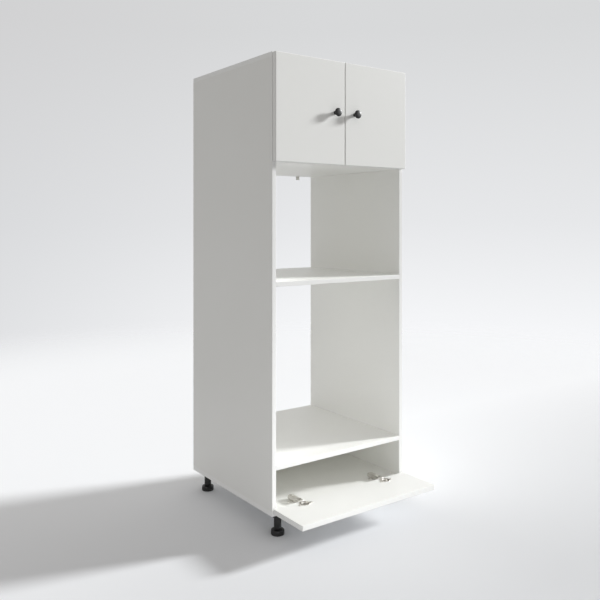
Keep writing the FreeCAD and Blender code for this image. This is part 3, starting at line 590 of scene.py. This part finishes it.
def cupPatches():
    t = fullTurn(cup["columns"])
    bar = oblong(cup["wingSpan"] + cup["wingRadius"], cup["wingRadius"], cup["wingRadius"] - 0.01,
                 (0.0, -cup["wingOffset"]), 24)
    step = (np.roll(bar, -1, axis=0) - bar)[:, None, :]  # the straight edges get points close together too
    bar = (bar[:, None, :] + step * np.linspace(0, 1, 60)[None, :-1, None]).reshape(-1, 2)
    turn = np.mod(np.arctan2(bar[:, 1], bar[:, 0]), 2 * np.pi)
    order = np.argsort(turn)
    reach = np.interp(t, turn[order], np.hypot(bar[:, 0], bar[:, 1])[order], period=2 * np.pi)
    edge = np.maximum(cup["flangeRadius"], reach)
    r, inner, deep, top = cup["radius"], cup["radius"] - cup["wall"], -cup["depth"], cup["flange"]
    floorLevel = deep + cup["wall"]
    runs = [[(0, deep), (r - 1.2, deep)], smoothCurve([(r - 1.2, deep), (r - 0.3, deep + 0.3), (r, deep + 1.2)], 4),
            *edges((r, deep + 1.2), (r, 0), (edge, 0)),
            [(edge, 0), (edge, 0.45 * top), (edge - 0.1, 0.8 * top), (edge - 0.35, top)],
            [(edge - 0.35, top), (inner + 0.5, top)],
            [(inner + 0.5, top), (inner + 0.15, top - 0.15), (inner, top - 0.5)],
            [(inner, top - 0.5), (inner, floorLevel + 1.5)],
            smoothCurve([(inner, floorLevel + 1.5), (inner - 0.4, floorLevel + 0.4), (inner - 1.5, floorLevel)], 4),
            [(inner - 1.5, floorLevel), (0, floorLevel)]]
    shell = moved(turned(runs, cup["columns"]), (0, hinge["innerFace"] * mm, hinge["cupCentre"] * mm),
                  (across, -up, back))
    y, z = hinge["cupPin"]
    outline = oblong(3.3, 5.0, 1.4, (z + 0.7, y - 2.2)) * mm
    near, far = (value * mm for value in cup["cheek"])
    cheeks = [moved(plate(outline, low, high, 0.2 * mm, 0.2 * mm), (0, 0, 0), (up, back, -across))
              for low, high in ((near, far), (-far, -near))]
    return shell + cheeks[0] + cheeks[1]


cupShape = cupPatches()
woodScrew = screw(1.7, -11.5, 3.3, 0.0, 1.5, crossRadius(2.1, 0.55, 24), 1.0)
flangeTop, screwLine = hinge["innerFace"] + cup["flange"], hinge["cupCentre"] + cup["wingOffset"]
cupScrews = [patch for way in (-1, 1) for patch in moved(
    woodScrew, np.array([way * cup["wingSpan"], flangeTop, screwLine]) * mm, (across, -up, back))]
cupPin = moved(pin(1.5, -7.6, 7.6), np.array([0, *hinge["cupPin"]]) * mm, (back, up, across))

# link between the two pins: a flat strip with rounded edges carried along the cranked path, and an eye
# rolled round each pin; it is drawn with the front open and turned back for the closed doors
link = dict(width=11.0, thickness=2.3, edge=0.6, eye=2.65, rise=3.9, shoulder=1.5, lead=4.5, bend=1.6)


def linkPatches():
    # the path runs up from the arm pin, over and down to the cup pin; its two bends are the third and
    # fourth arcs of six points of an outline that is closed far below
    (y0, z0), (y1, z1) = hinge["armPin"], openPin
    crest = z0 + link["rise"]
    corners = [(y0, z0), (y0 - link["lead"], crest), (y1 + link["shoulder"], crest), (y1, z1)]
    bends = rounded([*corners, (y1, z1 - 20), (y0, z1 - 20)], link["bend"], 6)[6:18]
    path = np.vstack([corners[0], bends, corners[3]])
    path = np.column_stack([np.zeros(len(path)), path]) * mm
    strip = carried(oblong(link["width"] / 2, link["thickness"] / 2, link["edge"]) * mm, path, across)
    half = link["width"] / 2
    eyes = [patch for y, z in (corners[0], corners[3])
            for patch in moved(pin(link["eye"], -half, half), np.array([0, y, z]) * mm, (back, up, across))]
    return strip + eyes


def turnedBack(patches):
    # the link of a closed front: turned about the arm pin by the whole swing
    angle = math.radians(hinge["swing"])
    turn = np.array([[1, 0, 0], [0, math.cos(angle), math.sin(angle)], [0, -math.sin(angle), math.cos(angle)]])
    centre = np.array([0, *hinge["armPin"]]) * mm
    return moved(patches, centre - centre @ turn, turn)


# arm: a pressed channel whose section is carried back from the web's start, and two nose cheeks
arm = dict(width=17.0, sheet=1.2, bend=2.2, stations=(9.0, 12.0, 14.0, 16.0, 30.0, 45.0, 57.0, 59.0, 60.8, 62.0),
           footLine=((9.0, 12.0, 16.0, 62.0), (24.5, 24.5, 19.0, 19.0)),
           topLine=((9.0, 57.0, 59.0, 60.8, 62.0), (33.0, 33.0, 32.5, 31.2, 29.5)),
           noseRadius=4.5, cheekFoot=24.6, cheekTop=33.0, cheekBack=(15.5, 10.0), cheekCorner=0.8)


def armPatches():
    # section (x, z) of a channel: up the left side, over the top, down the right and back inside, where z is
    # either the foot level or a drop from the top level, and both levels change along y
    w, s, bend = arm["width"] / 2, arm["sheet"], arm["bend"]
    t = np.linspace(0, np.pi / 2, 6)
    outer = np.stack([-w + bend - bend * np.cos(t), bend - bend * np.sin(t)], axis=1)
    inner = np.stack([-w + bend - (bend - s) * np.cos(t), bend - (bend - s) * np.sin(t)], axis=1)
    half = np.vstack([[-w, np.nan], outer])
    innerHalf = np.vstack([[-w + s, np.nan], inner])
    section = np.vstack([half, half[::-1] * [-1, 1], innerHalf * [-1, 1], innerHalf[::-1]])
    y = np.array(arm["stations"])
    low, high = np.interp(y, *arm["footLine"]), np.interp(y, *arm["topLine"])
    level = np.where(np.isnan(section[:, 1])[None, :], low[:, None], high[:, None] - section[None, :, 1])
    grid = np.stack([np.broadcast_to(section[None, :, 0], level.shape), np.broadcast_to(y[:, None], level.shape),
                     level], axis=-1) * mm
    channel = [gridPatch(grid), flatPatch([grid[0]], -back), flatPatch([grid[-1]], back)]
    y0, z0 = hinge["armPin"]
    around = np.linspace(np.pi / 2, 3 * np.pi / 2, 20)
    reach = arm["noseRadius"]
    nose = np.stack([y0 + reach * np.cos(around), z0 + (reach - 0.5) * np.sin(around)], axis=1)
    (lowBack, highBack), foot, top = arm["cheekBack"], arm["cheekFoot"], arm["cheekTop"]
    heel = rounded([(lowBack, foot), (highBack, top), (y0, top), (y0, foot)], arm["cheekCorner"], 4)[:4]
    outline = np.vstack([nose, heel, [(highBack, top - 0.1)]]) * mm
    cheeks = [moved(plate(outline, low, high, 0.15 * mm, 0.15 * mm), (0, 0, 0), (back, up, across))
              for low, high in (((w - s) * mm, w * mm), (-w * mm, (-w + s) * mm))]
    return channel + cheeks[0] + cheeks[1]


# mounting plate: two round-ended screw wings and the rail that the arm slides on
hingePlate = dict(line=37.0, wingSpan=26.0, wingHalf=6.5, wingThickness=2.5, railHalf=6.5, railY=(14.0, 58.0),
                  railTop=31.6, screwSpan=16.0, board=16.0)


wingTop = hingePlate["board"] + hingePlate["wingThickness"]


def platePatches():
    # wings and rail stand on the board's inner face; a low turned collar lies round each screw
    base = hingePlate["board"]
    wings = plate(oblong(hingePlate["wingSpan"], hingePlate["wingHalf"], 6.2, (0, hingePlate["line"]), 10) * mm,
                  base * mm, wingTop * mm, 0.05 * mm, 0.8 * mm)
    start, end = hingePlate["railY"]
    rail = plate(oblong(hingePlate["railHalf"], (end - start) / 2, 1.5, (0, (start + end) / 2)) * mm,
                 base * mm, hingePlate["railTop"] * mm, 0.05 * mm, 1.4 * mm)
    collars = [patch for way in (-1, 1) for patch in moved(
        turned([[(0, 0), (5.4, 0)], [(5.4, 0), (5.4, 0.5), (5.0, 0.9), (4.2, 1.0)], [(4.2, 1.0), (0, 1.0)]], 32),
        np.array([way * hingePlate["screwSpan"], hingePlate["line"], wingTop - 0.5]) * mm, np.eye(3))]
    return wings + rail + collars


plateScrews = [patch for way in (-1, 1) for patch in moved(
    woodScrew, np.array([way * hingePlate["screwSpan"], hingePlate["line"], wingTop]) * mm, np.eye(3))]
adjusters = (moved(screw(2.6, 27.0, 2.95, 31.9, 33.4, crossRadius(2.1, 0.55, 32), 1.2, 32),
                   (0, 24 * mm, 0), np.eye(3))
             + moved(screw(2.9, 27.0, 4.4, 33.02, 34.6, crossRadius(2.7, 0.65, 32), 1.2, 32),
                     (0, 49 * mm, 0), np.eye(3)))
armPin = moved(pin(1.5, -8.5, 8.5), np.array([0, *hinge["armPin"]]) * mm, (back, up, across))
armShape, plateShape, openLink = armPatches(), platePatches(), linkPatches()
closedLink = turnedBack(openLink)
for front, fixed in hingeFrames.items():
    riding = cupFrames[front]
    standFor(front + "_hinge_arms", onEach(fixed, armShape), "carcass")
    standFor(front + "_hinge_plates", onEach(fixed, plateShape), "carcass")
    standFor(front + "_hinge_links", onEach(fixed, openLink if front == "flap" else closedLink), front + "_links")
    standFor(front + "_hinge_cups", onEach(riding, cupShape), front)
    standFor(front + "_cup_pins", onEach(riding, cupPin), front)
    standFor(front + "_cup_screws", onEach(riding, cupScrews), front)
standFor("hinge_arm_pins", onEach(allHinges, armPin), "carcass")
standFor("hinge_adjusters", onEach(allHinges, adjusters), "carcass")
standFor("hinge_plate_screws", onEach(allHinges, plateScrews), "carcass")
print("stage: hinges")

# levelling legs: screw plate, ribbed collar and tube, moulded in one; the foot screws up into it
legs = dict(plateHalf=30.0, plateThickness=3.0, corner=8.0, screwOffset=23.0, collar=20.0, collarEnd=60.0,
            stem=13.0, stemEnd=18.4, ribReach=27.0, top=80.0, screwSeat=59.0, footRadius=23.0, footHeight=18.0,
            spindle=8.8, grips=32, gripDepth=0.5)


def legPatches():
    # a rounded plate, a turned profile below it, and two crossed webs between collar and plate
    top, base = legs["top"], legs["top"] - legs["plateThickness"]
    half, collar, stem = legs["plateHalf"], legs["collar"], legs["stem"]
    screwPlate = plate(oblong(half, half, legs["corner"], (0, 0), 8) * mm, base * mm, top * mm, 0.9 * mm, 0.3 * mm)
    end, foot = legs["collarEnd"], legs["stemEnd"]
    tube = turned([*edges((0, foot), (stem - 0.6, foot), (stem, foot + 0.6)),
                   [(stem, foot + 0.6), (stem, 24.0), (stem - 0.5, 24.4), (stem - 0.5, 25.4), (stem, 25.8),
                    (stem, end - 1.0)],
                   [(stem, end - 1.0), (stem + 0.3, end - 0.3), (stem + 1.0, end)],
                   *edges((stem + 1.0, end), (collar - 1.0, end), (collar, end + 1.0), (collar, base - 1.5),
                          (collar + 1.5, base + 0.5), (0, base + 0.5))], 64)
    reach = legs["ribReach"]
    ribLine = rounded([(-collar, end + 4), (collar, end + 4), (reach, base + 1), (-reach, base + 1)], 0.6, 4) * mm
    rib = plate(ribLine, -1.0 * mm, 1.0 * mm, 0.3 * mm, 0.3 * mm)
    ribs = moved(rib, (0, 0, 0), (across, up, -back)) + moved(rib, (0, 0, 0), (back, up, across))
    return screwPlate + tube + ribs


def footPatches():
    # the grip is pressed in by d (1 - cos(n t)) / 2 round the side
    grip = legs["gripDepth"] * (1 - np.cos(legs["grips"] * fullTurn(192))) / 2
    r, h, s = legs["footRadius"], legs["footHeight"], legs["spindle"]
    return turned([[(0, 0), (r - 2.0, 0)], smoothCurve([(r - 2.0, 0), (r - 0.5, 0.5), (r, 2.0)], 4),
                   [(r, 2.0), (r, 5.0)], [(r, 5.0), (r - grip, 5.8), (r - grip, 13.0), (r, 13.8)],
                   [(r, 13.8), (r, 14.5)],
                   smoothCurve([(r, 14.5), (r - 1.2, 16.9), (r - 3.6, 17.8), (r - 5.0, h)], 4),
                   *edges((r - 5.0, h), (s, h), (s, h + 38.0), (0, h + 38.0))], 192)


legShape, footShape = legPatches(), footPatches()
legScrews = []
for place in ("front_left", "front_right", "rear_left", "rear_right"):
    low, high = (np.array(corner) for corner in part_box(place + "_leg"))
    x, y = (low + high)[:2] / 2
    standFor(place + "_leg", moved(legShape, (x, y, 0), np.eye(3)), "carcass")
    standFor(place + "_leg_foot", moved(footShape, (x, y, 0), np.eye(3)), place + "_foot")
    legScrews += [patch for a in (-1, 1) for b in (-1, 1) for patch in moved(
        woodScrew, (x + a * legs["screwOffset"] * mm, y + b * legs["screwOffset"] * mm,
                    low[2] + legs["screwSeat"] * mm), facing[False])]
standFor("leg_screws", legScrews, "carcass")
print("stage: legs and feet")

# clips of the upper back, each a tongue behind the hardboard and a hook under the cupboard's floor
clips = dict(thickness=2.0, corner=3.0, hookCorner=1.4, edge=0.4)
for name in ("left_rear_clip", "right_rear_clip"):
    low, high = (np.array(corner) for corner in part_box(name))
    middle, half, thick = (low + high) / 2, (high - low) / 2, clips["thickness"] * mm
    tongue = moved(plate(oblong(half[0], half[2], clips["corner"] * mm), -thick, 0, 0.1 * mm, clips["edge"] * mm),
                   (middle[0], high[1], middle[2]), backward)
    hookOutline = oblong(half[0], half[1] - thick / 4, clips["hookCorner"] * mm)
    hook = moved(plate(hookOutline, 0, thick, 0.3 * mm, 0.3 * mm),
                 (middle[0], middle[1] - thick / 4, low[2]), np.eye(3))
    standFor(name, tongue + hook, "carcass")
print("stage: clips")

# room: floor, light and backdrop
# the floor's colour runs from floorNear at the front to floorFar further back: the darker front is painted shade
room = dict(floorReach=9.0, fadeFrom=2.6, fadeTo=5.2, floorFar="#F1F2F5", floorNear="#D4D5D8",
            nearDepth=-0.9, farDepth=0.6, bounceFrom=1.1, bounceTo=2.6, farBounce=0.30)
sun = dict(travel=(-0.905, 0.24, -0.350), strength=4.4, spread=8.5, colour=(0.985, 1.0, 1.0))
lowLight = dict(place=(-0.2, -1.15, 0.42), target=(0.05, 0.0, 0.26), size=0.6, openness=70.0, power=0.42)
# the backdrop colours in sky are painted light and shade: the right side, towards the key light, is lighter, and
# each side darkens higher up
sky = dict(fill=(0.450, 0.443, 0.430), lean=(0.22, 0.36, 0.36), highSlope=0.26, lowSlope=-0.20,
           leftEnd=0.22, rightEnd=0.60,
           left=dict(high="#D2D2D3", level="#DADBDD", low="#E4E5E7"),
           right=dict(high="#D8D9DA", level="#E7E8EA", low="#FBFCFE"))
camera = dict(place=(-1.6113, -1.9610, 1.0648), yaw=-36.03, focal=706.2, horizonRow=222.2, frameSize=600.0)


def makeFloor(look):
    # a flat disc of painted board: (radius cos t, radius sin t, 0); its colour darkens towards the front, which is
    # painted shade
    ring = np.stack([np.cos(fullTurn(96)), np.sin(fullTurn(96)), 0 * fullTurn(96)], axis=1) * look["floorReach"]
    mesh = bpy.data.meshes.new("studioFloor")
    mesh.from_pydata(ring.tolist(), [], [list(range(len(ring)))])
    floor = bpy.data.objects.new("studioFloor", mesh)
    bpy.context.scene.collection.objects.link(floor)
    material, tree, place = startMaterial("paintedStudioFloor")
    axes = node(tree, "ShaderNodeSeparateXYZ", links={"Vector": place})
    # painted shade: the floor's colour darkens from floorFar behind the cabinet to floorNear at the front
    paintedShadeRamp = node(tree, "ShaderNodeMapRange", {"From Min": look["nearDepth"], "From Max": look["farDepth"]},
                {"Value": axes.outputs["Y"]})
    colour = node(tree, "ShaderNodeMix", {"data_type": "RGBA", 6: linear(look["floorNear"]),
                                          7: linear(look["floorFar"])}, {"Factor": paintedShadeRamp.outputs[0]})
    # the camera sees the pale paint all over, but light bounces up only from the floor near the cabinet
    distance = node(tree, "ShaderNodeVectorMath", {"operation": "LENGTH"}, {0: place})
    near = node(tree, "ShaderNodeMapRange", {"From Min": look["bounceTo"], "From Max": look["bounceFrom"]},
                {"Value": distance.outputs["Value"]})
    rays = node(tree, "ShaderNodeLightPath")
    shown = node(tree, "ShaderNodeMath", {"operation": "MAXIMUM"},
                 {0: near.outputs[0], 1: rays.outputs["Is Camera Ray"]})
    paint = node(tree, "ShaderNodeMix", {"data_type": "RGBA", 6: [look["farBounce"]] * 3 + [1.0]},
                 {"Factor": shown.outputs[0], 7: colour.outputs[2]})
    matt = node(tree, "ShaderNodeBsdfDiffuse", links={"Color": paint.outputs[2]})
    fade = node(tree, "ShaderNodeMapRange", {"From Min": look["fadeFrom"], "From Max": look["fadeTo"],
                                             "interpolation_type": "SMOOTHSTEP"},
                {"Value": distance.outputs["Value"]})
    clear = node(tree, "ShaderNodeBsdfTransparent")
    both = node(tree, "ShaderNodeMixShader", links={0: fade.outputs[0], 1: matt.outputs[0], 2: clear.outputs[0]})
    finishMaterial(tree, both)
    mesh.materials.append(material)
    return floor


def makeSun(look):
    # the key light: low from the right and a little from the front, with the soft edge of a large lamp
    lamp = bpy.data.lights.new("keyLight", "SUN")
    lamp.energy = look["strength"]
    lamp.angle = math.radians(look["spread"])
    lamp.color = look["colour"]
    holder = bpy.data.objects.new("keyLight", lamp)
    holder.rotation_euler = Vector(look["travel"]).to_track_quat("-Z", "Y").to_euler()
    bpy.context.scene.collection.objects.link(holder)


def makeLowLight(look):
    # a weak soft box low in front, which reaches into the niches and under the flap
    lamp = bpy.data.lights.new("lowLight", "AREA")
    lamp.energy = look["power"]
    lamp.size = look["size"]
    lamp.spread = math.radians(look["openness"])
    holder = bpy.data.objects.new("lowLight", lamp)
    holder.location = look["place"]
    holder.rotation_euler = (Vector(look["target"]) - Vector(look["place"])).to_track_quat("-Z", "Y").to_euler()
    holder.visible_camera = False
    holder.visible_glossy = False
    bpy.context.scene.collection.objects.link(holder)


def makeSky(look):
    # fill light from all round, a little stronger where the way it comes from leans with look["lean"];
    # the camera and reflections see the pale backdrop, graded by height and from left to right; the grading is
    # painted light and shade: lighter towards the right, where the key light comes from, and darker high up
    world = bpy.data.worlds.new("studioRoom")
    bpy.context.scene.world = world
    world.use_nodes = True
    tree = world.node_tree
    tree.nodes.clear()
    ray = node(tree, "ShaderNodeTexCoord").outputs["Generated"]
    lean = node(tree, "ShaderNodeVectorMath", {"operation": "DOT_PRODUCT", 1: look["lean"]}, {0: ray})
    level = node(tree, "ShaderNodeMath", {"operation": "ADD", 1: 1.0}, {0: lean.outputs["Value"]})
    fill = node(tree, "ShaderNodeBackground", {"Color": [*look["fill"], 1.0]}, {"Strength": level.outputs[0]})
    axes = node(tree, "ShaderNodeSeparateXYZ", links={"Vector": ray})
    below = node(tree, "ShaderNodeMapRange", {"From Min": look["lowSlope"], "From Max": 0.0},
                 {"Value": axes.outputs["Z"]})
    above = node(tree, "ShaderNodeMapRange", {"From Min": 0.0, "From Max": look["highSlope"]},
                 {"Value": axes.outputs["Z"]})
    # painted shade: each side of the backdrop darkens from its low colour up to its high colour
    walls = []
    for side in (look["left"], look["right"]):
        ground = node(tree, "ShaderNodeMix", {"data_type": "RGBA", 6: linear(side["low"]),
                                              7: linear(side["level"])}, {"Factor": below.outputs[0]})
        walls.append(node(tree, "ShaderNodeMix", {"data_type": "RGBA", 7: linear(side["high"])},
                          {"Factor": above.outputs[0], 6: ground.outputs[2]}).outputs[2])
    # painted light: the backdrop is mixed towards the lighter right-hand colours, on the side the key light comes
    # from
    paintedLightRightward = node(tree, "ShaderNodeMapRange", {"From Min": look["leftEnd"], "From Max": look["rightEnd"]},
                       {"Value": axes.outputs["X"]})
    wall = node(tree, "ShaderNodeMix", {"data_type": "RGBA"},
                {"Factor": paintedLightRightward.outputs[0], 6: walls[0], 7: walls[1]})
    backdrop = node(tree, "ShaderNodeBackground", {"Strength": 1.0}, {"Color": wall.outputs[2]})
    rays = node(tree, "ShaderNodeLightPath")
    seen = node(tree, "ShaderNodeMath", {"operation": "MAXIMUM"},
                {0: rays.outputs["Is Camera Ray"], 1: rays.outputs["Is Glossy Ray"]})
    seenOrThrough = node(tree, "ShaderNodeMath", {"operation": "MAXIMUM"},
                         {0: seen.outputs[0], 1: rays.outputs["Is Transmission Ray"]})
    both = node(tree, "ShaderNodeMixShader", links={0: seenOrThrough.outputs[0], 1: fill.outputs[0],
                                                    2: backdrop.outputs[0]})
    node(tree, "ShaderNodeOutputWorld", links={"Surface": both.outputs[0]})


def makeCamera(look):
    # level camera with a falling front, so that uprights stay upright
    lens = bpy.data.cameras.new("photoCamera")
    lens.sensor_fit = "HORIZONTAL"
    lens.sensor_width = 36.0
    lens.lens = look["focal"] / look["frameSize"] * 36.0
    lens.shift_y = (look["horizonRow"] - look["frameSize"] / 2) / look["frameSize"]
    lens.clip_end = 100.0
    holder = bpy.data.objects.new("photoCamera", lens)
    x, y, z = look["place"]
    holder.location = (x, y + frontY, z)
    holder.rotation_euler = (math.radians(90), 0, math.radians(look["yaw"]))
    bpy.context.scene.collection.objects.link(holder)
    bpy.context.scene.camera = holder


floor = makeFloor(room)
makeSun(sun)
makeLowLight(lowLight)
makeSky(sky)
makeCamera(camera)
bpy.context.scene.view_settings.view_transform = "Standard"
bpy.context.scene.cycles.diffuse_bounces = 16     # white boards pass light on many times inside the niches
bpy.context.scene.cycles.max_bounces = 20
print("stage: room, light and camera")
